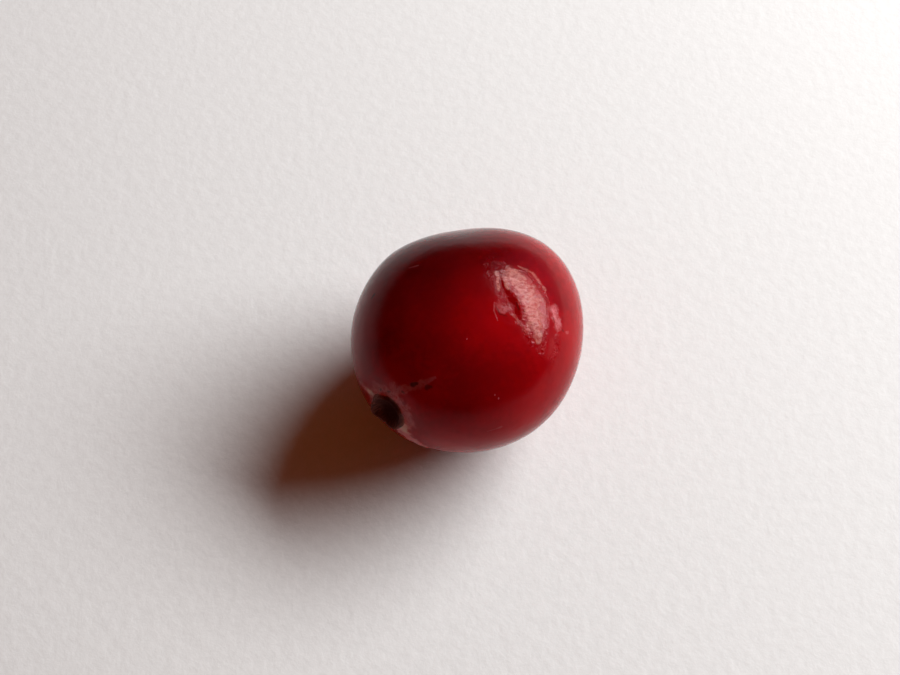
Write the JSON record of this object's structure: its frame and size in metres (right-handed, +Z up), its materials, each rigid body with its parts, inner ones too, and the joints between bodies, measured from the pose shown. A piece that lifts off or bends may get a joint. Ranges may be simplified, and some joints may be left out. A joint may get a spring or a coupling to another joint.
{
  "type": "cranberry",
  "caption": "Ripe cranberry lying on its side: glossy dark red skin, a dried calyx crown with a waxy star at the blossom end and a small corky stem scar at the other.",
  "frame": {"origin": "middle of the berry's box, on the surface that it rests on", "axes": "+X level, from the blossom end to the stem end; +Z up from the surface that it rests on"},
  "size_m": [0.0144, 0.0132, 0.0109],
  "materials": {
    "skin": "waxy, glossy dark red fruit skin with a faint bloom; dark brown dried calyx and tan stem scar"
  },
  "bodies": {
    "root": {"berry": "skin"}
  },
  "joints": []
}
